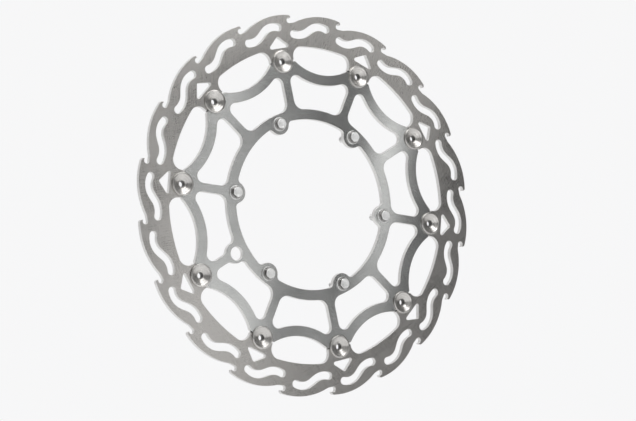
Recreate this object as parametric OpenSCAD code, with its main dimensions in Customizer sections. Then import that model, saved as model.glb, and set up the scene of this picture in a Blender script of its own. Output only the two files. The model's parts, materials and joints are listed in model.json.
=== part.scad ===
// Floating motorcycle brake disc: a friction ring with a flame-shaped edge, hung on ten
// hollow buttons from a flat spoked carrier, with its six hub bolts in place.
// Millimetres. The disc's axis lies along Y and +Z is up. The outer face looks towards -Y.
// The origin is on the axis, in the plane of the carrier's hub face, so the hub is at +Y.
//
// Flat outlines are drawn with their radius along +Y and then turned to their clock angle.

/* [Disc] */
// Outside diameter over the flames
disc_d = 320; // [316:1:324]
// Thickness of the friction ring and of the carrier
plate_t = 4; // [3.5:0.5:5]
// Clock angle of the first button and the first hub bolt, anticlockwise from +X
clock = -4.75; // [-18:0.25:18]

/* [Friction ring] */
// Radial width of the braking band
band_w = 27.4; // [27:0.1:28]
// Radius of each flame's back
flame_r = 57; // [56:0.5:58]
// Radius of the notch under each flame tip
notch_r = 2.3; // [2:0.1:2.5]
// Width of the S-shaped slots
slot_w = 6.4; // [5:0.2:7]
// Corner radius of the triangular holes
triangle_corner_r = 1.4; // [1:0.1:2]

/* [Carrier] */
// Radius of the scallop between two carrier arms
scallop_r = 48; // [47:0.5:50]
// Disc radius at the bottom of a scallop
waist_r = 110.3; // [109:0.1:111]
// Width of the wavy band that joins the arms
wave_w = 8.7; // [7:0.1:9]
// Width of the ten radial arms
arm_w = 7.4; // [6:0.2:9]
// Outer diameter of the inner ring
core_d = 160; // [158:0.5:161]
// Diameter of the hub opening between the bolt ears
opening_d = 142.6; // [141:0.2:144]
// Diameter of the sensor hole at the foot of one arm
sensor_hole_d = 11.2; // [9:0.2:11.6]

/* [Buttons] */
// Pitch circle diameter of the button centres
button_pcd = 242; // [241:0.5:243]
// Diameter of a button's barrel
barrel_d = 14; // [13:0.5:14.5]
// Diameter of a button's front flange
flange_d = 19; // [18:0.5:20]
// Thickness of a button's front flange
flange_t = 1.3; // [1:0.1:1.6]
// Diameter of the hole through a button
bore_d = 5; // [4.6:0.2:6.4]
// Radial running clearance between a barrel and its seat
seat_gap = 0.05; // [0.03:0.01:0.1]
// Axial gap between the friction ring and what keeps it in, on each side
side_gap = 0.2; // [0.15:0.05:0.3]
// Gap between the friction ring's lugs and the carrier's arms
lug_gap = 1.2; // [0.8:0.1:1.6]

/* [Hub bolts] */
// Pitch circle diameter of the six hub bolts
bolt_pcd = 144; // [143:0.5:145]
// Thread diameter
thread_d = 6; // [6]
// Length of thread that stands out of the hub face
thread_out = 14; // [10:1:18]
// Hexagon size across its flats
hex_af = 8; // [8]
// Height of the head with its flange
head_h = 4.5; // [4:0.1:6]
// Diameter of the flange under the hexagon
bolt_flange_d = 11.6; // [11:0.1:13]

/* [Hidden] */
$fn = 96;
buttons = 10;
flames = 2 * buttons;
bolts = 6;
button_step = 360 / buttons;
flame_step = 360 / flames;
half_step = button_step / 2;

rim_r = disc_d / 2;
band_in_r = rim_r - band_w;
button_r = button_pcd / 2;
barrel_r = barrel_d / 2;
seat_r = barrel_r + seat_gap;
bolt_r = bolt_pcd / 2;
core_r = core_d / 2;
opening_r = opening_d / 2;

// Flame: back, rounded tip and the round notch under the tip
flame_lead = 1.5;
flame_c = (rim_r - flame_r) * [sin(flame_lead), cos(flame_lead)];
flame_start = 124;
tip_r = 2.2;
tip_a = 78.4;
tip_c = flame_c + (flame_r - tip_r) * [cos(tip_a), sin(tip_a)];
notch_at = [0.3, -2.45];
notch_c = tip_c + notch_at;
notch_end = 285;

// S-shaped slot: a hollow bend, a straight and a crowned bend
bend_in_r = 16;
bend_out_r = 14.2;
bend_a = 41;
slot_straight = 4.9;
slot_tail = 8;
slot_nose = 22;
bend_in_c = [-26.7, rim_r - 3.9];

// Triangular hole outside each button
triangle_base = rim_r - 27.6;
triangle = [[-11.6, triangle_base], [10.8, triangle_base], [-0.4, triangle_base + 9.9]];

// Fillets run this far into the metal that they blend with, and joined shapes overlap by this much
blend = 0.1;
overlap = 2;

// Lug that reaches from the braking band to a button
lug_half_w = 11.2;
lug_fillet_r = 8.4;
lug_in_r = button_r + lug_gap / 2;
lug_top_a = 8;
lug_fillet_y = sqrt(pow(band_in_r - lug_fillet_r + blend, 2) - pow(lug_half_w + lug_fillet_r, 2));

// Carrier
arm_tip_r = button_r - lug_gap / 2;
scallop_y = waist_r + scallop_r;
wave_in_r = scallop_r + wave_w;
window_foot_r = 8;
window_head_r = 5.5;
ear_r = 9;
ear_fillet_r = 4;
bolt_hole_r = thread_d / 2 + 0.2;
sensor_arm = 6;
sensor_c = [-0.9, core_r + 3.1];
sensor_pad_y = core_r + 3.9;
sensor_pad_r = 8.6;
sensor_neck_r = 6;
sensor_foot_r = 5;

// Button and what holds it at the back, measured along +Y from the hub face
flange_back = -plate_t - side_gap;
flange_front = flange_back - flange_t;
spring_t = 0.5;
spring_rise = 0.4;
washer_y = side_gap + spring_t + spring_rise;
washer_t = 1;
circlip_y = washer_y + washer_t;
circlip_t = 1;
groove_r = barrel_r - 0.8;
groove_play = 0.05;
barrel_end = circlip_y + circlip_t + 1;
dish_r = flange_d / 2 - 1.5;
dish_floor_r = 3.4;
dish_depth = 2.6;
web_t = 5;
pocket_r = 5.2;
edge_chamfer = 0.4;
washer_in_r = barrel_r + 0.2;
washer_out_r = flange_d / 2;
spring_out_r = washer_out_r - 0.1;
circlip_in_r = groove_r + 0.05;
circlip_out_r = barrel_r + 1.2;
circlip_mouth = 50;
eye_r = 1.3;
eye_hole_r = 0.6;
eye_at = [circlip_out_r - 0.4, 0.6];

// Hub bolt: its shoulder fills the carrier's hole and centres it, and the thread starts at the hub
shoulder_r = bolt_hole_r - 0.02;
bolt_flange_t = 1.1;
bolt_flange_slope = 0.6;
hex_r = hex_af / 2 / cos(30);
head_top_r = hex_af / 2 - 0.2;
head_chamfer = 0.6;
head_side_r = head_top_r + head_chamfer / tan(30);
thread_r = thread_d / 2;
thread_chamfer = 0.8;

function two_digits(k) = k < 10 ? str("0", k) : str(k);
BUTTON_KINDS = ["button", "spring_washer", "retaining_washer", "circlip"];

// Points along an arc about c, from angle a0 to a1, both ends included
function arc(c, r, a0, a1, steps) =
    [for (i = [0:steps]) c + r * [cos(a0 + (a1 - a0) * i / steps), sin(a0 + (a1 - a0) * i / steps)]];

function direction(from, to) = atan2(to[1] - from[1], to[0] - from[0]);

// The same direction as an angle from 0 to 360
function positive(a) = a < 0 ? a + 360 : a;

// A point turned clockwise about the disc's axis
function turned(p, a) = [p[0] * cos(a) + p[1] * sin(a), p[1] * cos(a) - p[0] * sin(a)];

// An outline with repeated points taken out
function distinct(p) = [for (i = [0:len(p) - 1]) if (norm(p[i] - p[(i + 1) % len(p)]) > 0.001) p[i]];

// A half outline on the +X side, closed by its mirror image
function both_sides(half) = distinct(concat(
    half,
    [for (i = [len(half) - 1:-1:0]) [-half[i][0], half[i][1]]]
));

// Where two circles cross, on the right of the line from c1 to c2
function crossing(c1, r1, c2, r2) =
    let (d = norm(c2 - c1), u = (c2 - c1) / d, a = (d * d + r1 * r1 - r2 * r2) / (2 * d))
    c1 + a * u + sqrt(r1 * r1 - a * a) * [u[1], -u[0]];

// A convex outline, drawn anticlockwise, with every corner rounded
function rounded(p, r, steps) = let (n = len(p)) [
    for (i = [0:n - 1])
    let (
        a1 = direction(p[(i + n - 1) % n], p[i]),
        a2 = direction(p[i], p[(i + 1) % n]),
        sweep = a2 < a1 ? a2 - a1 + 360 : a2 - a1,
        mid = a1 + 90 + sweep / 2
    )
    each arc(p[i] + r / cos(sweep / 2) * [cos(mid), sin(mid)], r, a1 - 90, a1 - 90 + sweep, steps)
];

// One flame of the rim, from the start of its back, over its tip and round the notch
function flame() =
    let (cusp = crossing(notch_c, notch_r, tip_c, tip_r))
    concat(
        arc(flame_c, flame_r, flame_start, tip_a, 10),
        arc(tip_c, tip_r, tip_a, direction(tip_c, cusp), 5),
        arc(notch_c, notch_r, direction(notch_c, cusp), notch_end, 10)
    );

function rim() = distinct([for (k = [0:flames - 1]) each [for (p = flame()) turned(p, flame_step * k)]]);

// The S-shaped slot
function slot() =
    let (
        w = slot_w / 2,
        tail = -90 - slot_tail,
        in_end = -90 + bend_a,
        out_start = 90 + bend_a,
        nose = 90 - slot_nose,
        heading = [cos(bend_a), sin(bend_a)],
        mid = bend_in_c + bend_in_r * [cos(in_end), sin(in_end)] + slot_straight * heading,
        bend_out_c = mid - bend_out_r * [cos(out_start), sin(out_start)],
        tail_c = bend_in_c + bend_in_r * [cos(tail), sin(tail)],
        nose_c = bend_out_c + bend_out_r * [cos(nose), sin(nose)]
    )
    distinct(concat(
        arc(bend_in_c, bend_in_r + w, tail, in_end, 6),
        arc(bend_out_c, bend_out_r - w, out_start, nose, 6),
        arc(nose_c, w, nose - 180, nose, 9),
        arc(bend_out_c, bend_out_r + w, nose, out_start, 6),
        arc(bend_in_c, bend_in_r - w, in_end, tail, 6),
        arc(tail_c, w, tail + 180, tail + 360, 9)
    ));

function lug() =
    let (c = [lug_half_w + lug_fillet_r, lug_fillet_y], top = direction([0, 0], c))
    both_sides(concat(
        [[lug_half_w, lug_in_r - overlap]],
        arc(c, lug_fillet_r, 180, top, 7),
        [turned([0, band_in_r + overlap], lug_top_a)]
    ));

// Carrier window, between two arms that stand half a button step to each side
function window() =
    let (
        arm = [sin(half_step), cos(half_step)],
        inward = [-cos(half_step), sin(half_step)],
        foot_x = arm_w / 2 + window_foot_r,
        head_x = arm_w / 2 + window_head_r,
        scallop_c = [0, scallop_y],
        foot_c = sqrt(pow(core_r + window_foot_r, 2) - pow(foot_x, 2)) * arm + foot_x * inward,
        head_reach = sqrt(pow(wave_in_r + window_head_r, 2) - pow(scallop_y * sin(half_step) - head_x, 2)),
        head_c = (scallop_y * cos(half_step) - head_reach) * arm + head_x * inward
    )
    both_sides(concat(
        arc([0, 0], core_r, 90, direction([0, 0], foot_c), 3),
        arc(foot_c, window_foot_r, direction(foot_c, [0, 0]), -half_step, 7),
        arc(head_c, window_head_r, -half_step, direction(head_c, scallop_c), 8),
        arc(scallop_c, wave_in_r, direction(scallop_c, head_c), -90, 12)
    ));

// Bolt ear on the inside of the inner ring, with a fillet on each side
function ear() =
    let (
        reach = opening_r - ear_fillet_r + blend,
        apart = ear_r + ear_fillet_r,
        a = acos((reach * reach + bolt_r * bolt_r - apart * apart) / (2 * reach * bolt_r)),
        c = reach * [sin(a), cos(a)],
        bolt_c = [0, bolt_r]
    )
    both_sides(concat(
        arc(bolt_c, ear_r, -90, direction(bolt_c, c), 8),
        arc(c, ear_fillet_r, direction(c, bolt_c), direction([0, 0], c), 6),
        [turned([0, opening_r + overlap], a)]
    ));

// Widened foot of the arm that holds the sensor hole
function sensor_pad() =
    let (
        neck_x = arm_w / 2 + sensor_neck_r - blend,
        pad_c = [0, sensor_pad_y],
        neck_c = [neck_x, sensor_pad_y + sqrt(pow(sensor_pad_r + sensor_neck_r, 2) - pow(neck_x, 2))],
        reach = core_r + sensor_foot_r - blend,
        apart = sensor_pad_r + sensor_foot_r,
        a = acos((reach * reach + sensor_pad_y * sensor_pad_y - apart * apart) / (2 * reach * sensor_pad_y)),
        foot_c = reach * [sin(a), cos(a)]
    )
    both_sides(concat(
        arc(neck_c, sensor_neck_r, 180, positive(direction(neck_c, pad_c)), 5),
        arc(pad_c, sensor_pad_r, direction(pad_c, neck_c), direction(pad_c, foot_c), 5),
        arc(foot_c, sensor_foot_r, positive(direction(foot_c, pad_c)), positive(direction(foot_c, [0, 0])), 6),
        [turned([0, core_r - overlap], a)]
    ));

// Flat shapes turned from the drawing direction to a clock angle
module flat_at(angle) rotate(angle - 90) children();

module flat_ring_of(count, offset = 0)
    for (k = [0:count - 1]) flat_at(clock + offset + 360 / count * k) children();

module at_sensor_arm() flat_at(clock + button_step * sensor_arm) children();

// A plate from the hub face to the outer face
module plate() rotate([90, 0, 0]) linear_extrude(plate_t) children();

// A solid drawn about +Z, stood on the disc at a clock angle and radius, with its +Z along +Y
module at_clock(angle, r) rotate([0, -angle, 0]) translate([r, 0, 0]) rotate([-90, 0, 0]) children();

module at_button(k) at_clock(clock + button_step * (k - 1), button_r) children();

module at_bolt(k) at_clock(clock + 360 / bolts * (k - 1), bolt_r) children();

module friction_ring() color([0.62, 0.61, 0.6]) plate() difference() {
    flat_at(clock) polygon(rim());
    difference() {
        circle(band_in_r);
        flat_ring_of(buttons) polygon(lug());
    }
    circle(lug_in_r);
    flat_ring_of(buttons) translate([0, button_r]) circle(seat_r);
    flat_ring_of(buttons) polygon(distinct(rounded(triangle, triangle_corner_r, 4)));
    flat_ring_of(flames) polygon(slot());
}

module carrier() color([0.55, 0.56, 0.56]) plate() difference() {
    circle(arm_tip_r);
    flat_ring_of(buttons, half_step) translate([0, scallop_y]) circle(scallop_r);
    difference() {
        flat_ring_of(buttons, half_step) polygon(window());
        at_sensor_arm() polygon(sensor_pad());
    }
    difference() {
        circle(opening_r);
        flat_ring_of(bolts) polygon(ear());
    }
    flat_ring_of(buttons) translate([0, button_r]) circle(seat_r);
    flat_ring_of(bolts) translate([0, bolt_r]) circle(bolt_hole_r);
    at_sensor_arm() translate(sensor_c) circle(d = sensor_hole_d);
}

// Hollow bobbin: dished front flange, barrel through both plates, clip groove near its end
module button(k) color([0.8, 0.79, 0.77]) at_button(k) rotate_extrude() polygon([
    [dish_r, flange_front],
    [flange_d / 2 - edge_chamfer, flange_front],
    [flange_d / 2, flange_front + edge_chamfer],
    [flange_d / 2, flange_back],
    [barrel_r, flange_back],
    [barrel_r, circlip_y - groove_play],
    [groove_r, circlip_y - groove_play],
    [groove_r, circlip_y + circlip_t + groove_play],
    [barrel_r, circlip_y + circlip_t + groove_play],
    [barrel_r, barrel_end - edge_chamfer],
    [barrel_r - edge_chamfer, barrel_end],
    [pocket_r, barrel_end],
    [pocket_r, flange_front + dish_depth + web_t],
    [bore_d / 2, flange_front + dish_depth + web_t],
    [bore_d / 2, flange_front + dish_depth],
    [dish_floor_r, flange_front + dish_depth]
]);

// Dished spring washer, its outer edge towards the plates
module spring_washer(k) color([0.5, 0.5, 0.52]) at_button(k) rotate_extrude() polygon([
    [spring_out_r, side_gap],
    [spring_out_r, side_gap + spring_t],
    [washer_in_r, washer_y],
    [washer_in_r, washer_y - spring_t]
]);

module retaining_washer(k) color([0.66, 0.66, 0.66]) at_button(k) translate([0, 0, washer_y])
    linear_extrude(washer_t) difference() {
        circle(washer_out_r);
        circle(washer_in_r);
    }

module at_eyes() for (side = [-1, 1])
    rotate(side * circlip_mouth / 2) translate([eye_at[0], side * eye_at[1]]) children();

// Circlip with an eye at each end for its pliers, its mouth towards the rim
module circlip(k) color([0.35, 0.35, 0.37]) at_button(k) translate([0, 0, circlip_y])
    linear_extrude(circlip_t) difference() {
        union() {
            difference() {
                circle(circlip_out_r);
                polygon([
                    [0, 0],
                    2 * circlip_out_r * [cos(circlip_mouth / 2), sin(circlip_mouth / 2)],
                    2 * circlip_out_r * [cos(circlip_mouth / 2), -sin(circlip_mouth / 2)]
                ]);
            }
            at_eyes() circle(eye_r);
        }
        circle(circlip_in_r);
        at_eyes() circle(eye_hole_r);
    }

// Flanged hexagon bolt, its head on the outer face and its thread out of the hub face
module hub_bolt(k) color([0.82, 0.82, 0.82]) at_bolt(k) union() {
    intersection() {
        translate([0, 0, -plate_t - head_h]) cylinder(h = head_h, r = hex_r, $fn = 6);
        translate([0, 0, -plate_t - head_h]) rotate_extrude() polygon([
            [0, 0],
            [head_top_r, 0],
            [head_side_r, head_chamfer],
            [head_side_r, head_h],
            [0, head_h]
        ]);
    }
    rotate_extrude() polygon([
        [0, -plate_t - bolt_flange_t - bolt_flange_slope],
        [hex_af / 2, -plate_t - bolt_flange_t - bolt_flange_slope],
        [bolt_flange_d / 2, -plate_t - bolt_flange_t],
        [bolt_flange_d / 2, -plate_t],
        [shoulder_r, -plate_t],
        [shoulder_r, 0],
        [thread_r, 0],
        [thread_r, thread_out - thread_chamfer],
        [thread_r - thread_chamfer, thread_out],
        [0, thread_out]
    ]);
}

friction_ring();
carrier();
for (k = [1:buttons]) {
    button(k);
    spring_washer(k);
    retaining_washer(k);
    circlip(k);
}
for (k = [1:bolts]) hub_bolt(k);
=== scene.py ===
import json
import math
import random

import bmesh
import bpy
import numpy as np
from mathutils import Matrix, Vector
from mathutils.geometry import delaunay_2d_cdt

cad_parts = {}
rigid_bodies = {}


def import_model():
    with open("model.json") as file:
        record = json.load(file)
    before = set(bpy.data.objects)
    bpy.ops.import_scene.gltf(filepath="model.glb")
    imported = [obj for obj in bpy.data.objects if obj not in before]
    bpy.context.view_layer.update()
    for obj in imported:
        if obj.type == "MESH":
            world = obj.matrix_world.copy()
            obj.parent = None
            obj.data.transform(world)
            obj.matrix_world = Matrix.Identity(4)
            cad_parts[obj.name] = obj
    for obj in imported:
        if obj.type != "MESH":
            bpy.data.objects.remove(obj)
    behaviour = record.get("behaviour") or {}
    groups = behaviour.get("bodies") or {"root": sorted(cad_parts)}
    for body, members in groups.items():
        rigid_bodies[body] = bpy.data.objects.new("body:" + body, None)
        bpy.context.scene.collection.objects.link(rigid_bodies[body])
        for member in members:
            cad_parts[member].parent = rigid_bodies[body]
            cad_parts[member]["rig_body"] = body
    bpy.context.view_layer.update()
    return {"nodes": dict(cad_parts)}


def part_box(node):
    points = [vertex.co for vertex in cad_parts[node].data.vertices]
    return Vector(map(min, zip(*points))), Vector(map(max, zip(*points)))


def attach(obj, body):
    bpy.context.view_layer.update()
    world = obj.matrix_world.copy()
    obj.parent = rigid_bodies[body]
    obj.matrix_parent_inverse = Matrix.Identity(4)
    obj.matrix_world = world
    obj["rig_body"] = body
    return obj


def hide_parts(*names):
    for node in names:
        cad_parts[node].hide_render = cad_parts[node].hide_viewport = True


# Floating brake disc rotor. Metres, axis along Y, outer face towards -Y, hub face at y = 0.

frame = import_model()
scene = bpy.context.scene
rng = random.Random(7)
MM = 0.001


# ---- camera -----------------------------------------------------------------

CAMERA_AZIMUTH = -31.57
CAMERA_ELEVATION = -5.68
CAMERA_DISTANCE = 1.6
CAMERA_AIM = Vector((0.0050, -0.0068, -0.0051))
CAMERA_LENS = 108.8


def direction_at(azimuth, elevation):
    """The unit vector from the disc to a viewer, azimuth 0 being at -Y and 90 at +X."""
    turn, rise = math.radians(azimuth), math.radians(elevation)
    return Vector((math.sin(turn) * math.cos(rise), -math.cos(turn) * math.cos(rise), math.sin(rise)))


def aimed(obj, at, target):
    obj.location = at
    obj.rotation_euler = (Vector(target) - Vector(at)).to_track_quat("-Z", "Y").to_euler()
    scene.collection.objects.link(obj)
    return obj


def add_camera():
    data = bpy.data.cameras.new("camera")
    data.lens = CAMERA_LENS
    data.sensor_width = 36
    data.clip_end = 50
    at = CAMERA_AIM + CAMERA_DISTANCE * direction_at(CAMERA_AZIMUTH, CAMERA_ELEVATION)
    scene.camera = aimed(bpy.data.objects.new("camera", data), at, CAMERA_AIM)


add_camera()


# ---- node trees -------------------------------------------------------------


class Finish:
    """A Principled material and short ways to add nodes to it.

    Highlights stretch along the tangent, or across it when spread is a quarter turn.
    """

    def __init__(self, name, metallic=1.0, roughness=0.4, anisotropy=0.0, spread=0.0):
        self.material = bpy.data.materials.new(name)
        self.material.use_nodes = True
        self.tree = self.material.node_tree
        self.shader = self.tree.nodes["Principled BSDF"]
        self.shader.inputs["Metallic"].default_value = metallic
        self.shader.inputs["Roughness"].default_value = roughness
        self.shader.inputs["Anisotropic"].default_value = anisotropy
        self.shader.inputs["Anisotropic Rotation"].default_value = spread
        self.position = self.node("ShaderNodeTexCoord").outputs["Object"]

    def node(self, kind, inputs=(), **settings):
        made = self.tree.nodes.new(kind)
        for key, value in settings.items():
            setattr(made, key, value)
        for key, value in dict(inputs).items():
            self.put(made.inputs[key], value)
        return made

    def put(self, socket, value):
        if isinstance(value, bpy.types.NodeSocket):
            self.tree.links.new(value, socket)
        else:
            socket.default_value = value

    def math(self, operation, a, b=0.0):
        return self.node("ShaderNodeMath", {0: a, 1: b}, operation=operation).outputs[0]

    def added(self, a, b):
        return self.math("ADD", a, b)

    def scaled(self, vector, x, y, z):
        made = self.node("ShaderNodeVectorMath", {0: vector, 1: (x, y, z)}, operation="MULTIPLY")
        return made.outputs[0]

    def measured(self, vector, direction):
        """How far the vector reaches along a direction."""
        made = self.node("ShaderNodeVectorMath", {0: vector, 1: direction}, operation="DOT_PRODUCT")
        return made.outputs["Value"]

    def combined(self, x, y, z=0.0):
        return self.node("ShaderNodeCombineXYZ", {0: x, 1: y, 2: z}).outputs[0]

    def noise(self, vector, scale=1.0, detail=2.0, rough=0.5):
        inputs = {"Vector": vector, "Scale": scale, "Detail": detail, "Roughness": rough}
        return self.node("ShaderNodeTexNoise", inputs).outputs[0]

    def streaks(self, run, rise, length, width, detail):
        """Noise drawn out along run, its streaks about this long and wide."""
        streak = self.combined(self.math("DIVIDE", run, length), self.math("DIVIDE", rise, width))
        return self.noise(streak, detail=detail)

    def ranged(self, value, low, high, start=0.0, end=1.0):
        """value from start..end mapped onto low..high, clamped."""
        inputs = {"Value": value, "From Min": start, "From Max": end, "To Min": low, "To Max": high}
        return self.node("ShaderNodeMapRange", inputs).outputs[0]

    def mixed(self, factor, a, b):
        made = self.node("ShaderNodeMix", data_type="RGBA")
        self.put(made.inputs[0], factor)
        self.put(made.inputs[6], (*a, 1.0) if isinstance(a, tuple) else a)
        self.put(made.inputs[7], (*b, 1.0) if isinstance(b, tuple) else b)
        return made.outputs[2]

    def polar(self, cx=0.0, cz=0.0):
        """Distance from the line through (cx, cz) along Y, and the angle about it."""
        parts = self.node("ShaderNodeSeparateXYZ", {0: self.position}).outputs
        x, z = self.math("SUBTRACT", parts[0], cx), self.math("SUBTRACT", parts[2], cz)
        squares = self.added(self.math("MULTIPLY", x, x), self.math("MULTIPLY", z, z))
        return self.math("SQRT", squares), self.math("ARCTAN2", z, x)

    def bump(self, height, depth):
        normal = self.node("ShaderNodeBump", {"Height": height, "Strength": 1.0, "Distance": depth})
        self.put(self.shader.inputs["Normal"], normal.outputs[0])

    def colour(self, value):
        self.put(self.shader.inputs["Base Color"], value)

    def roughness(self, value):
        self.put(self.shader.inputs["Roughness"], value)

    def tangent(self, value):
        self.put(self.shader.inputs["Tangent"], value)


# ---- materials --------------------------------------------------------------

STEEL = (0.50, 0.485, 0.465)
STEEL_LIGHT = (0.58, 0.565, 0.545)
CARRIER_STEEL = (0.49, 0.495, 0.485)
CARRIER_LIGHT = (0.57, 0.575, 0.565)
CUT_STEEL = (0.80, 0.795, 0.785)
CUT_DARK = (0.64, 0.63, 0.615)
BUTTON_STEEL = (0.72, 0.705, 0.68)
BUTTON_DARK = (0.50, 0.485, 0.465)
# Near-black painted shade for the inside of the buttons' bores
BORE_PAINTED_SHADE = (0.07, 0.068, 0.065)
# Bolt heads: a lit pale copy for the top and a dark copy with painted shade for the sides
BOLT_ZINC_LIT = (0.90, 0.90, 0.89)
BOLT_GREY_LIT = (0.76, 0.76, 0.75)
BOLT_SHADED = (0.36, 0.355, 0.345)
BOLT_SHADED_DARK = (0.24, 0.235, 0.23)
SPRING_STEEL = (0.30, 0.285, 0.27)
SPRING_BLUE = (0.20, 0.21, 0.25)
WASHER_STEEL = (0.60, 0.595, 0.58)
CLIP_BLACK = (0.055, 0.055, 0.06)
CLIP_WORN = (0.16, 0.155, 0.15)

# Centres of the two families of grinding arcs on the ring, as (x, z) in metres
GRIND_CENTRES = ((0.31, 0.10), (-0.20, 0.28))
# Slope of the carrier's straight grain, in degrees
GRAIN_SLOPE = -4.75
# Radius of the hole through each button, in millimetres
BORE_R = 2.5


def ground_steel():
    """Braking band: rotary ground, so two families of wide arcs cross all over it."""
    f = Finish("ground_steel", anisotropy=0.7)
    marks = []
    for cx, cz in GRIND_CENTRES:
        reach, angle = f.polar(cx, cz)
        arcs = f.combined(f.math("DIVIDE", reach, 0.28 * MM), f.math("MULTIPLY", angle, 26.0))
        marks.append(f.noise(arcs, detail=3.0))
    cross = f.math("MULTIPLY", f.added(*marks), 0.5)
    cloud = f.noise(f.position, scale=38.0, detail=4.0, rough=0.6)
    tone = f.added(f.ranged(cross, 0.1, 0.75, 0.35, 0.65), f.ranged(cloud, -0.12, 0.12, 0.3, 0.7))
    f.colour(f.mixed(tone, STEEL, STEEL_LIGHT))
    f.roughness(f.added(f.ranged(cross, 0.25, 0.32, 0.35, 0.65), f.ranged(cloud, -0.02, 0.03, 0.3, 0.7)))
    f.bump(cross, 0.002 * MM)
    f.tangent(f.node("ShaderNodeTangent", direction_type="RADIAL", axis="Y").outputs[0])
    return f.material


def brushed_steel():
    """Carrier: one straight grain, belt brushed before the windows were cut."""
    slope = math.radians(GRAIN_SLOPE)
    along = (math.cos(slope), 0.0, math.sin(slope))
    across = (-along[2], 0.0, along[0])
    f = Finish("brushed_steel", anisotropy=0.9, spread=0.25)
    run, rise = f.measured(f.position, along), f.measured(f.position, across)
    fine = f.streaks(run, rise, 9 * MM, 0.16 * MM, 3.0)
    broad = f.streaks(run, rise, 30 * MM, 1.1 * MM, 2.0)
    cloud = f.noise(f.position, scale=30.0, detail=3.0)
    tone = f.added(f.ranged(fine, 0.1, 0.7, 0.3, 0.7), f.ranged(broad, -0.2, 0.25, 0.3, 0.7))
    f.colour(f.mixed(tone, CARRIER_STEEL, CARRIER_LIGHT))
    f.roughness(f.added(f.ranged(fine, 0.20, 0.26, 0.3, 0.7), f.ranged(cloud, -0.02, 0.03, 0.3, 0.7)))
    f.bump(fine, 0.004 * MM)
    f.tangent(f.combined(*along))
    return f.material


def cut_steel():
    """Laser-cut edge: pale, with fine striations through the plate."""
    f = Finish("cut_steel")
    lines = f.noise(f.scaled(f.position, 1 / (0.35 * MM), 1 / (6 * MM), 1 / (0.35 * MM)), detail=3.0)
    cloud = f.noise(f.position, scale=60.0)
    f.colour(f.mixed(f.ranged(lines, 0.0, 1.0, 0.3, 0.7), CUT_DARK, CUT_STEEL))
    f.roughness(f.added(f.ranged(lines, 0.34, 0.46, 0.3, 0.7), f.ranged(cloud, -0.03, 0.03, 0.3, 0.7)))
    f.bump(lines, 0.04 * MM)
    return f.material


def turned_steel():
    """Buttons: bright turned stainless, with the tool's rings on every face and painted shade in the
    bore.
    """
    f = Finish("turned_steel", anisotropy=0.8, spread=0.25)
    reach, angle = f.polar()
    height = f.node("ShaderNodeSeparateXYZ", {0: f.position}).outputs[1]
    steps = f.added(f.math("DIVIDE", reach, 0.14 * MM), f.math("DIVIDE", height, 0.14 * MM))
    rings = f.noise(f.combined(steps, f.math("MULTIPLY", angle, 0.6)), detail=2.0)
    stain = f.noise(f.position, scale=260.0, detail=3.0)
    turned = f.mixed(f.ranged(rings, 0.0, 1.0, 0.3, 0.7), BUTTON_DARK, BUTTON_STEEL)
    # Painted shade: the bore wall is coloured near black, fading to the turned colour just outside it
    beyond_bore_shade = f.ranged(reach, 0.0, 1.0, BORE_R * MM, (BORE_R + 0.4) * MM)
    f.colour(f.mixed(beyond_bore_shade, BORE_PAINTED_SHADE, turned))
    f.roughness(f.added(f.ranged(rings, 0.24, 0.34, 0.3, 0.7), f.ranged(stain, -0.02, 0.04, 0.35, 0.7)))
    f.bump(rings, 0.008 * MM)
    f.tangent(f.node("ShaderNodeTangent", direction_type="RADIAL", axis="Y").outputs[0])
    return f.material


def plated_steel(name, metallic, dark, light):
    """Hub bolts: zinc over a cold-formed head. Made twice, as a lit pale copy for the top of the head and
    a dark copy with painted shade for its sides.
    """
    f = Finish(name, metallic=metallic)
    mottle = f.noise(f.position, scale=900.0, detail=4.0, rough=0.65)
    broad = f.noise(f.position, scale=220.0, detail=2.0)
    f.colour(f.mixed(f.ranged(mottle, 0.0, 1.0, 0.3, 0.7), dark, light))
    f.roughness(f.added(f.ranged(mottle, 0.28, 0.40, 0.3, 0.7), f.ranged(broad, -0.03, 0.05, 0.3, 0.7)))
    f.bump(mottle, 0.012 * MM)
    return f.material


def spring_steel():
    """Spring washers: tempered strip, straw to blue, with a rolled grain."""
    f = Finish("spring_steel")
    temper = f.noise(f.position, scale=120.0, detail=2.0)
    grain = f.noise(f.scaled(f.position, 900.0, 900.0, 5000.0), detail=2.0)
    f.colour(f.mixed(f.ranged(temper, 0.0, 1.0, 0.35, 0.65), SPRING_BLUE, SPRING_STEEL))
    f.roughness(f.ranged(grain, 0.26, 0.40, 0.3, 0.7))
    f.bump(grain, 0.006 * MM)
    return f.material


def stamped_steel():
    """Retaining washers: tumbled stainless, scuffed by the clips."""
    f = Finish("stamped_steel")
    tumble = f.noise(f.position, scale=1500.0, detail=4.0, rough=0.6)
    scuff = f.noise(f.scaled(f.position, 300.0, 300.0, 2600.0), detail=2.0)
    f.colour(f.mixed(f.ranged(tumble, 0.0, 1.0, 0.3, 0.7), STEEL, WASHER_STEEL))
    f.roughness(f.added(f.ranged(tumble, 0.30, 0.42, 0.3, 0.7), f.ranged(scuff, -0.03, 0.03, 0.3, 0.7)))
    f.bump(tumble, 0.012 * MM)
    return f.material


def phosphated_steel():
    """Circlips: black phosphate, worn a little grey."""
    f = Finish("phosphated_steel", metallic=0.6)
    speck = f.noise(f.position, scale=2600.0, detail=3.0, rough=0.7)
    worn = f.noise(f.position, scale=420.0, detail=3.0)
    f.colour(f.mixed(f.ranged(worn, 0.0, 1.0, 0.5, 0.75), CLIP_BLACK, CLIP_WORN))
    f.roughness(f.ranged(speck, 0.42, 0.62, 0.3, 0.7))
    f.bump(speck, 0.010 * MM)
    return f.material


# ---- meshes -----------------------------------------------------------------


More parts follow.
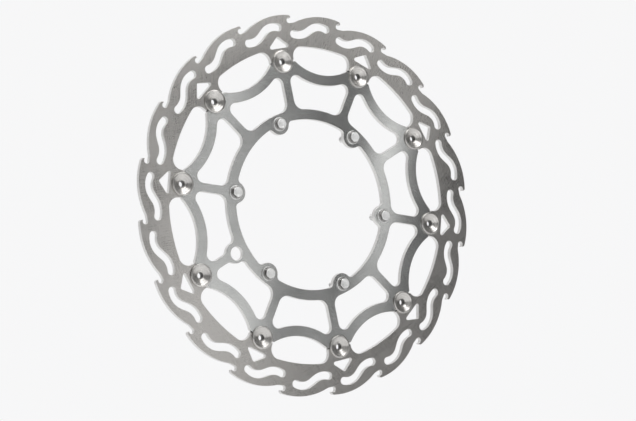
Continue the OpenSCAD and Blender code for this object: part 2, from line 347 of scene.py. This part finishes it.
def new_mesh(name, points, faces, materials, face_materials=None, normals=None):
    mesh = bpy.data.meshes.new(name)
    mesh.from_pydata([tuple(p) for p in points], [], faces)
    for material in materials:
        mesh.materials.append(material)
    if face_materials is not None:
        mesh.polygons.foreach_set("material_index", face_materials)
    mesh.polygons.foreach_set("use_smooth", [True] * len(mesh.polygons))
    mesh.validate()
    if normals is not None:
        mesh.normals_split_custom_set_from_vertices([tuple(n) for n in normals])
    mesh.update()
    return mesh


def place(name, mesh, node, at=(0.0, 0.0, 0.0), turn=0.0):
    """Shows the mesh in place of a CAD node, on that node's body, turned about Y."""
    obj = bpy.data.objects.new(name, mesh)
    obj.matrix_world = Matrix.Translation(Vector(at)) @ Matrix.Rotation(turn, 4, "Y")
    scene.collection.objects.link(obj)
    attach(obj, frame["nodes"][node]["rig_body"])
    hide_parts(node)
    return obj


# ---- plates: outlines read from the CAD plate, edges rounded ----------------

# Corners that turn by more than this many degrees are rounded
CORNER_TURN = 24.0
# The most that one step of a rounded corner turns, in degrees
CORNER_STEP = 18.0


def outlines(node):
    """The outlines of the plate's outer face, as arrays of (x, z), with the metal on the left from -Y."""
    bm = bmesh.new()
    bm.from_mesh(frame["nodes"][node].data)
    bmesh.ops.remove_doubles(bm, verts=bm.verts, dist=1e-6)
    bm.normal_update()
    low = min(v.co.y for v in bm.verts)
    cap = [f for f in bm.faces if f.normal.y < -0.99 and f.calc_center_median().y < low + 0.1 * MM]
    in_cap = set(cap)
    following = {}
    for face in cap:
        for loop in face.loops:
            if sum(other in in_cap for other in loop.edge.link_faces) == 1:
                following[loop.vert] = loop.link_loop_next.vert
    found = []
    while following:
        start, vert = next(iter(following.items()))
        del following[start]
        ring = [start]
        while vert != start:
            ring.append(vert)
            vert = following.pop(vert)
        found.append(np.array([(v.co.x, v.co.z) for v in ring]))
    bm.free()
    return found


def turn_between(into, out):
    """The signed angle by which an outline turns from one unit direction to the next."""
    return math.atan2(into[0] * out[1] - into[1] * out[0], into @ out)


def arc(start, into, radius, turn, steps):
    """Points along an arc that leaves start in the direction into and turns by turn."""
    centre = start + math.copysign(radius, turn) * np.array((-into[1], into[0]))
    spoke = start - centre
    made = []
    for k in range(steps + 1):
        cos, sin = math.cos(turn * k / steps), math.sin(turn * k / steps)
        made.append(centre + np.array((spoke[0] * cos - spoke[1] * sin, spoke[0] * sin + spoke[1] * cos)))
    return made


def softened(ring, radius):
    """The outline with each sharp corner replaced by a short arc."""
    made = []
    count = len(ring)
    for i in range(count):
        before, here, after = ring[i - 1], ring[i], ring[(i + 1) % count]
        into, out = here - before, after - here
        len_in, len_out = np.hypot(*into), np.hypot(*out)
        into, out = into / len_in, out / len_out
        turn = turn_between(into, out)
        if abs(turn) < math.radians(CORNER_TURN):
            made.append(here)
            continue
        reach = min(radius * math.tan(abs(turn) / 2), 0.49 * len_in, 0.49 * len_out)
        steps = max(2, round(abs(turn) / math.radians(CORNER_STEP)))
        made += arc(here - reach * into, into, reach / math.tan(abs(turn) / 2), turn, steps)
    return np.array(made)


def outward(ring):
    """At each point of an outline, the unit vector out of the metal and how much longer a mitre is."""
    step = np.roll(ring, -1, axis=0) - ring
    step /= np.linalg.norm(step, axis=1)[:, None]
    side = np.stack((step[:, 1], -step[:, 0]), axis=1)
    mean = side + np.roll(side, 1, axis=0)
    mean /= np.linalg.norm(mean, axis=1)[:, None]
    stretch = 1 / np.clip((mean * side).sum(axis=1), 0.5, 1.0)
    return mean, stretch


def filled(rings):
    """Triangles that fill the outlines, as indices into their points joined end to end."""
    points = np.concatenate(rings) / MM
    edges, first = [], 0
    for ring in rings:
        edges += [(first + i, first + (i + 1) % len(ring)) for i in range(len(ring))]
        first += len(ring)
    _, _, faces, origins, _, _ = delaunay_2d_cdt([Vector(p) for p in points], edges, [], 0, 1e-5)
    faces = [tuple(origins[i][0] for i in face) for face in faces]
    ahead = set(edges)
    owner = {(face[i], face[(i + 1) % 3]): k for k, face in enumerate(faces) for i in range(3)}
    inside = {owner[edge] for edge in edges if edge in owner}
    waiting = list(inside)
    while waiting:
        face = faces[waiting.pop()]
        for i in range(3):
            edge = (face[i], face[(i + 1) % 3])
            if edge in ahead:
                continue
            beyond = owner.get((edge[1], edge[0]))
            if beyond is not None and beyond not in inside:
                inside.add(beyond)
                waiting.append(beyond)
    return [faces[k] for k in sorted(inside)]


def plate_mesh(node, bevel, corner, materials, bevel_steps=3):
    """A plate with the CAD node's outlines and thickness.

    bevel rounds its edges and corner rounds its corners. The second material is for its sides.
    """
    low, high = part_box(node)
    rings = [softened(ring, corner) for ring in outlines(node)]
    quarter = [math.pi / 2 * k / bevel_steps for k in range(bevel_steps + 1)]
    rows = [(low.y, 1, a) for a in quarter] + [(high.y, -1, a) for a in reversed(quarter)]
    flat = np.concatenate(rings)
    out, stretch = (np.concatenate(parts) for parts in zip(*[outward(ring) for ring in rings]))
    points, normals = [], []
    for y, inward, a in rows:
        inset = bevel * (1 - math.sin(a))
        placed = flat - out * (stretch * inset)[:, None]
        height = np.full(len(flat), y + inward * bevel * (1 - math.cos(a)))
        points.append(np.stack((placed[:, 0], height, placed[:, 1]), axis=1))
        tilt = np.full(len(flat), -inward * math.cos(a))
        normals.append(np.stack((out[:, 0] * math.sin(a), tilt, out[:, 1] * math.sin(a)), axis=1))
    count = len(flat)
    splits = np.cumsum([len(ring) for ring in rings])[:-1]
    cap = filled(np.split(points[0][:, (0, 2)], splits))
    last = (len(rows) - 1) * count
    faces = list(cap) + [tuple(last + i for i in reversed(face)) for face in cap]
    face_materials = [0] * len(faces)
    first = 0
    for ring in rings:
        for i in range(len(ring)):
            a, b = first + i, first + (i + 1) % len(ring)
            for row in range(len(rows) - 1):
                base = row * count
                faces.append((base + b, base + a, base + count + a, base + count + b))
                face_materials.append(1)
        first += len(ring)
    points, normals = np.concatenate(points), np.concatenate(normals)
    return new_mesh(node + "_plate", points, faces, materials, face_materials, normals)


# ---- turned pieces ----------------------------------------------------------


def profile(corners, steps=4):
    """A closed profile of (r, y) from corners (r, y, fillet), each fillet an arc."""
    made = []
    count = len(corners)
    for i in range(count):
        here = np.array(corners[i][:2], float)
        into = here - np.array(corners[i - 1][:2], float)
        out = np.array(corners[(i + 1) % count][:2], float) - here
        into, out = into / np.hypot(*into), out / np.hypot(*out)
        turn, fillet = turn_between(into, out), corners[i][2]
        made += arc(here - fillet * math.tan(abs(turn) / 2) * into, into, fillet, turn, steps)
    return made


WASHER_BORE_R = 7.2


def marked_sharp(mesh, degrees=28.0):
    """Keeps the edges sharper than this crisp under smooth shading."""
    bm = bmesh.new()
    bm.from_mesh(mesh)
    bmesh.ops.recalc_face_normals(bm, faces=bm.faces)
    for edge in bm.edges:
        edge.smooth = len(edge.link_faces) == 2 and edge.calc_face_angle(0.0) < math.radians(degrees)
    bm.to_mesh(mesh)
    bm.free()
    return mesh


def lathed(name, corners, material, segments=72):
    """A closed ring turned about Y from corners in millimetres."""
    section = profile(corners)
    rows = len(section)
    points, faces = [], []
    for s in range(segments):
        a = 2 * math.pi * s / segments
        points += [(r * MM * math.cos(a), y * MM, r * MM * math.sin(a)) for r, y in section]
        near, far = s * rows, (s + 1) % segments * rows
        faces += [(near + i, near + (i + 1) % rows, far + (i + 1) % rows, far + i) for i in range(rows)]
    return marked_sharp(new_mesh(name, points, faces, [material]))


def centre_of(node):
    """The middle of a node as seen along the disc's axis, in the hub face's plane."""
    low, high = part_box(node)
    return Vector(((low.x + high.x) / 2, 0.0, (low.z + high.z) / 2))


def size_of(node):
    """A round node's outer radius and its span along Y, in millimetres."""
    low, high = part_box(node)
    return (high.x - low.x) / 2 / MM, low.y / MM, high.y / MM


def button_mesh(material):
    """Hollow bobbin: coned and stepped front, barrel through both plates, clip groove, rear pocket."""
    flange_r, front, end = size_of("button_01")
    _, clip_low, clip_high = size_of("circlip_01")
    barrel_r, groove_r, pocket_r = 7.0, 6.2, 5.2
    flange_t, cone_depth, web_t, play = 1.3, 2.6, 5.0, 0.05
    back = front + flange_t
    floor = front + cone_depth
    web = floor + web_t
    return lathed("button", [
        (8.1, front, 0.25),
        (flange_r, front, 0.42),
        (flange_r, back, 0.2),
        (barrel_r, back, 0.12),
        (barrel_r, clip_low - play, 0.06),
        (groove_r, clip_low - play, 0.06),
        (groove_r, clip_high + play, 0.06),
        (barrel_r, clip_high + play, 0.06),
        (barrel_r, end - 0.45, 0.12),
        (barrel_r - 0.45, end, 0.12),
        (pocket_r + 0.3, end, 0.08),
        (pocket_r, end - 0.3, 0.08),
        (pocket_r, web, 0.2),
        (BORE_R + 0.25, web, 0.06),
        (BORE_R, web - 0.25, 0.06),
        (BORE_R, floor + 0.3, 0.06),
        (BORE_R + 0.3, floor, 0.08),
        (3.35, floor, 0.15),
        (4.3, floor - 0.75, 0.12),
        (4.75, floor - 0.85, 0.12),
        (6.35, front + 0.85, 0.1),
        (6.7, front + 0.8, 0.1),
        (7.6, front + 0.2, 0.1),
    ], material, segments=96)


def spring_washer_mesh(material):
    """Dished washer of thin strip."""
    outer_r, low, high = size_of("spring_washer_01")
    strip = 0.5
    return lathed("spring_washer", [
        (outer_r, low, 0.08),
        (outer_r, low + strip, 0.12),
        (WASHER_BORE_R, high, 0.12),
        (WASHER_BORE_R, high - strip, 0.08),
    ], material)


def retaining_washer_mesh(material):
    """Flat washer, stamped, so its edges are rounded on one side more than on the other."""
    outer_r, low, high = size_of("retaining_washer_01")
    return lathed("retaining_washer", [
        (WASHER_BORE_R, low, 0.12),
        (outer_r, low, 0.2),
        (outer_r, high, 0.12),
        (WASHER_BORE_R, high, 0.2),
    ], material)


# ---- hub bolts --------------------------------------------------------------


# Sizes in millimetres
BOLT_FLATS = 8.0
BOLT_HEAD_H = 4.5
BOLT_TOP_R = 3.76
BOLT_CORNER_CUT = 0.12
BOLT_CHAMFER_H = 0.75
BOLT_SKIRT_H = 0.5
BOLT_FLANGE_T = 1.1
BOLT_LIP = 0.35
SHOULDER_R = 3.18
THREAD_R = 3.0
THREAD_PITCH = 1.0
THREAD_DEPTH = 0.54
THREAD_START = 1.0
THREAD_RUN_IN = 1.2
THREAD_TIP = 0.8
THREAD_ROWS = 16
# The dish on top of the head, from its middle outwards: radius and depth
BOLT_DISH = ((0.0, 0.22), (1.2, 0.22), (2.2, 0.2), (2.55, 0.14), (2.75, 0.05), (2.9, 0.01), (3.05, 0.0))
BOLT_SEGMENTS = 72
BOLT_ANGLES = [2 * math.pi * s / BOLT_SEGMENTS for s in range(BOLT_SEGMENTS)]


def round_row(r, y):
    """A row of (r, y) that is a circle."""
    return [(r, y)] * BOLT_SEGMENTS


def head_radius(angle, depth):
    """Side of the head at this depth below its top: the flats, cut by the chamfer's cone."""
    within = abs((angle + math.pi / 6) % (math.pi / 3) - math.pi / 6)
    flat = BOLT_FLATS / 2 / math.cos(within)
    cone = BOLT_TOP_R + depth * math.sqrt(3)
    corner = BOLT_FLATS / 2 / math.cos(math.pi / 6) - BOLT_CORNER_CUT
    return min(flat, cone, corner)


def side_rows(front, flange_r):
    """The head's chamfer and flats, and the skirt that runs out to the flange."""
    rows = []
    for k in range(10):
        depth = BOLT_CHAMFER_H * k / 9
        rows.append([(head_radius(a, depth), front + depth) for a in BOLT_ANGLES])
    sides = [head_radius(a, BOLT_CHAMFER_H) for a in BOLT_ANGLES]
    skirt = front + BOLT_HEAD_H - BOLT_FLANGE_T - BOLT_SKIRT_H
    for k in range(5):
        share = k / 4
        y = skirt + BOLT_SKIRT_H * share
        rows.append([(r + (flange_r - BOLT_LIP - r) * share ** 2, y) for r in sides])
    return rows


def flange_rows(face_y, flange_r):
    """The flange's rounded lip and its washer face, and the shoulder down to the thread."""
    rows = []
    for k in range(5):
        turn = math.pi / 2 * k / 4
        r = flange_r - BOLT_LIP + BOLT_LIP * math.sin(turn)
        rows.append(round_row(r, face_y - BOLT_FLANGE_T + BOLT_LIP * (1 - math.cos(turn))))
    for r, y in (
        (flange_r, face_y - 0.2),
        (flange_r - 0.2, face_y),
        (SHOULDER_R, face_y),
        (SHOULDER_R, -0.12),
        (SHOULDER_R - 0.12, 0.0),
        (THREAD_R, 0.0),
    ):
        rows.append(round_row(r, y))
    return rows


def thread_rows(end):
    """A rolled thread that runs in from a plain start and narrows at its tip."""
    rows = [round_row(THREAD_R, THREAD_START)]
    total = int((end - THREAD_START) / THREAD_PITCH * THREAD_ROWS)
    for k in range(1, total + 1):
        y = THREAD_START + (end - THREAD_START) * k / total
        run_in = min(1.0, (y - THREAD_START) / THREAD_RUN_IN)
        tip_r = THREAD_R - max(0.0, y - (end - THREAD_TIP))
        row = []
        for a in BOLT_ANGLES:
            phase = (y / THREAD_PITCH + a / (2 * math.pi)) % 1.0
            ridge = min(1.0, max(0.0, 1.25 * (1 - abs(2 * phase - 1)) - 0.06))
            r = THREAD_R - THREAD_DEPTH + THREAD_DEPTH * (ridge * run_in + (1 - run_in))
            row.append((min(r, tip_r), y))
        rows.append(row)
    return rows


def bolt_mesh(top, sides):
    """Hex flange bolt: chamfered head with a shallow forged dish, washer face, rolled thread."""
    flange_r, front, end = size_of("hub_bolt_1")
    dish = [round_row(r, front + depth) for r, depth in BOLT_DISH[1:]]
    side = side_rows(front, flange_r)
    rows = dish + side + flange_rows(front + BOLT_HEAD_H, flange_r) + thread_rows(end)
    # Painted shade: the sides get the dark copy, from a third of the way down the chamfer to the foot of
    # the skirt
    painted_shade_rows = range(len(dish) + 3, len(dish) + len(side) - 1)
    points = [(0.0, (front + BOLT_DISH[0][1]) * MM, 0.0)]
    for row in rows:
        for a, (r, y) in zip(BOLT_ANGLES, row):
            points.append((r * MM * math.cos(a), y * MM, r * MM * math.sin(a)))
    points.append((0.0, end * MM, 0.0))
    faces, shown = [], []
    for s in range(BOLT_SEGMENTS):
        t = (s + 1) % BOLT_SEGMENTS
        faces.append((0, 1 + s, 1 + t))
        shown.append(0)
        for k in range(len(rows) - 1):
            near, far = 1 + k * BOLT_SEGMENTS, 1 + (k + 1) * BOLT_SEGMENTS
            faces.append((near + s, far + s, far + t, near + t))
            shown.append(int(k in painted_shade_rows))
        tail = 1 + (len(rows) - 1) * BOLT_SEGMENTS
        faces.append((tail + s, len(points) - 1, tail + t))
        shown.append(0)
    return marked_sharp(new_mesh("hub_bolt", points, faces, [top, sides], shown), 24.0)


# ---- the rotor --------------------------------------------------------------


def add_rotor():
    ground, brushed, cut = ground_steel(), brushed_steel(), cut_steel()
    ring = plate_mesh("friction_ring", 0.25 * MM, 0.35 * MM, [ground, cut])
    place("friction_ring_plate", ring, "friction_ring")
    carrier = plate_mesh("carrier", 0.25 * MM, 0.35 * MM, [brushed, cut])
    place("carrier_plate", carrier, "carrier")

    shared = {
        "button": (button_mesh(turned_steel()), "button_steel"),
        "spring_washer": (spring_washer_mesh(spring_steel()), "spring_steel"),
        "retaining_washer": (retaining_washer_mesh(stamped_steel()), "washer_steel"),
    }
    clip_material = phosphated_steel()
    for node in sorted(frame["nodes"]):
        kind = node.rsplit("_", 1)[0]
        if kind in shared:
            mesh, slot = shared[kind]
            place(node + "_turned", mesh, node, centre_of(node), rng.uniform(0, 2 * math.pi))
        elif kind == "circlip":
            clip = plate_mesh(node, 0.12 * MM, 0.2 * MM, [clip_material, clip_material], 2)
            place(node + "_clip", clip, node)
    # The first finish is the lit copy for the top of the head, the second the copy with painted shade for
    # its sides
    bolt = bolt_mesh(plated_steel("zinc_plated_lit_top", 0.45, BOLT_GREY_LIT, BOLT_ZINC_LIT),
                     plated_steel("zinc_painted_shade", 0.9, BOLT_SHADED_DARK, BOLT_SHADED))
    for node in sorted(n for n in frame["nodes"] if n.startswith("hub_bolt")):
        place(node + "_bolt", bolt, node, centre_of(node), rng.uniform(0, math.pi / 3))


add_rotor()


# ---- studio -----------------------------------------------------------------

FLOOR_Z = -0.9
FLOOR_R = 14.0
FLOOR_GLOW = 0.64
PALE = (0.93, 0.93, 0.935)
# Strengths of the world as the metal sees it, and the directions' y or z between which each one fades in
WORLD_FRONT = 0.32
WORLD_BACK = 1.15
BACK_SPAN = (0.55, 0.82)
WORLD_BEHIND = 0.4
BEHIND_SPAN = (0.92, 0.995)
WORLD_BELOW = 0.45
BELOW_SPAN = (-0.7, 0.6)
# The dark patch: azimuth and elevation, the angles from its middle where it fades, and its strength
PATCH_AT = (31.0, 5.0)
PATCH_INNER = 22.0
PATCH_OUTER = 60.0
PATCH_LEVEL = 0.03
# Panels round the disc: name, azimuth, elevation, distance, width, height, watts
PANELS = (
    ("top_front", 0, 55, 0.85, 0.9, 0.5, 3.0),
    ("top_left", -50, 55, 0.85, 0.5, 0.5, 0.5),
    ("front", 0, 12, 0.85, 0.4, 0.4, 0.2),
    ("top_right", 15, 45, 0.5, 0.15, 0.15, 0.2),
)
# Banks of narrow upright strips close in front of the disc: name, where the outer face mirrors the first
# strip and the step to the next, both as (x, z) in mm, how many there are, and the milliwatts of each
STRIP_AHEAD = 0.35
STRIP_WIDTH = 0.025
STRIP_HEIGHT = 0.15
BANKS = (
    ("upper_left", (-90, 180), (30, 0), 2, 30),
    ("left", (-120, 0), (30, 0), 4, 7),
    ("lower_left", (-120, -120), (30, 0), 3, 15),
    ("upper", (0, 180), (30, 0), 2, 7),
    ("lower", (0, -120), (50, 0), 2, 4),
    ("right", (70, 0), (15, 90), 3, 17),
)


def add_floor():
    bm = bmesh.new()
    bmesh.ops.create_circle(bm, cap_ends=True, segments=96, radius=FLOOR_R)
    mesh = bpy.data.meshes.new("floor")
    bm.to_mesh(mesh)
    bm.free()
    f = Finish("floor", metallic=0.0, roughness=0.8)
    f.colour((*PALE, 1.0))
    f.put(f.shader.inputs["Emission Color"], (*PALE, 1.0))
    f.put(f.shader.inputs["Emission Strength"], FLOOR_GLOW)
    mesh.materials.append(f.material)
    floor = bpy.data.objects.new("floor", mesh)
    floor.location.z = FLOOR_Z
    scene.collection.objects.link(floor)


def add_world():
    """Pale to the camera all round.

    The metal sees it dimmer in front, at the sides, straight behind and below, with a dark patch
    where the outer face mirrors the camera's view.
    """
    world = bpy.data.worlds.new("studio")
    scene.world = world
    world.use_nodes = True
    nodes, links = world.node_tree.nodes, world.node_tree.links
    nodes.clear()

    def faded(value, span, low, high):
        made = nodes.new("ShaderNodeMapRange")
        made.interpolation_type = "SMOOTHSTEP"
        links.new(value, made.inputs["Value"])
        limits = {"From Min": span[0], "From Max": span[1], "To Min": low, "To Max": high}
        for key, number in limits.items():
            made.inputs[key].default_value = number
        return made.outputs[0]

    def product(a, b):
        made = nodes.new("ShaderNodeMath")
        made.operation = "MULTIPLY"
        links.new(a, made.inputs[0])
        links.new(b, made.inputs[1])
        return made.outputs[0]

    towards = nodes.new("ShaderNodeTexCoord").outputs["Generated"]
    parts = nodes.new("ShaderNodeSeparateXYZ")
    links.new(towards, parts.inputs[0])
    patch = nodes.new("ShaderNodeVectorMath")
    patch.operation = "DOT_PRODUCT"
    links.new(towards, patch.inputs[0])
    patch.inputs[1].default_value = direction_at(*PATCH_AT)
    rim = [math.cos(math.radians(angle)) for angle in (PATCH_INNER, PATCH_OUTER)]
    around = faded(patch.outputs["Value"], rim, PATCH_LEVEL, 1.0)
    back = faded(parts.outputs["Y"], BACK_SPAN, WORLD_FRONT, WORLD_BACK)
    behind = faded(parts.outputs["Y"], BEHIND_SPAN, 1.0, WORLD_BEHIND)
    below = faded(parts.outputs["Z"], BELOW_SPAN, WORLD_BELOW, 1.0)
    seen_by_metal = nodes.new("ShaderNodeBackground")
    links.new(product(product(around, product(back, behind)), below), seen_by_metal.inputs["Strength"])
    seen_by_metal.inputs["Color"].default_value = (*PALE, 1.0)
    seen_by_camera = nodes.new("ShaderNodeBackground")
    seen_by_camera.inputs["Color"].default_value = (*PALE, 1.0)
    path = nodes.new("ShaderNodeLightPath")
    mix = nodes.new("ShaderNodeMixShader")
    links.new(path.outputs["Is Camera Ray"], mix.inputs[0])
    links.new(seen_by_metal.outputs[0], mix.inputs[1])
    links.new(seen_by_camera.outputs[0], mix.inputs[2])
    links.new(mix.outputs[0], nodes.new("ShaderNodeOutputWorld").inputs[0])


def add_softbox(name, at, target, width, height, power):
    data = bpy.data.lights.new(name, "AREA")
    data.shape = "RECTANGLE"
    data.size, data.size_y = width, height
    data.energy = power
    light = aimed(bpy.data.objects.new(name, data), at, target)
    light.visible_camera = False


def add_strip(name, x, z, power):
    """A narrow upright light that the camera sees mirrored at (x, z) in the outer face."""
    camera = scene.camera.location
    face_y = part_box("carrier")[0].y
    reach = STRIP_AHEAD / (face_y - camera.y)
    at = (x + reach * (x - camera.x), face_y - STRIP_AHEAD, z + reach * (z - camera.z))
    add_softbox(name, at, (x, face_y, z), STRIP_WIDTH, STRIP_HEIGHT, power)


def add_lights():
    for name, azimuth, elevation, away, width, height, watts in PANELS:
        add_softbox(name, away * direction_at(azimuth, elevation), (0, 0, 0), width, height, watts)
    for name, (x, z), (step_x, step_z), count, milliwatts in BANKS:
        for i in range(count):
            at_x, at_z = (x + i * step_x) * MM, (z + i * step_z) * MM
            add_strip(f"{name}_{i + 1}", at_x, at_z, milliwatts / 1000)


add_floor()
add_world()
add_lights()
scene.view_settings.view_transform = "Standard"
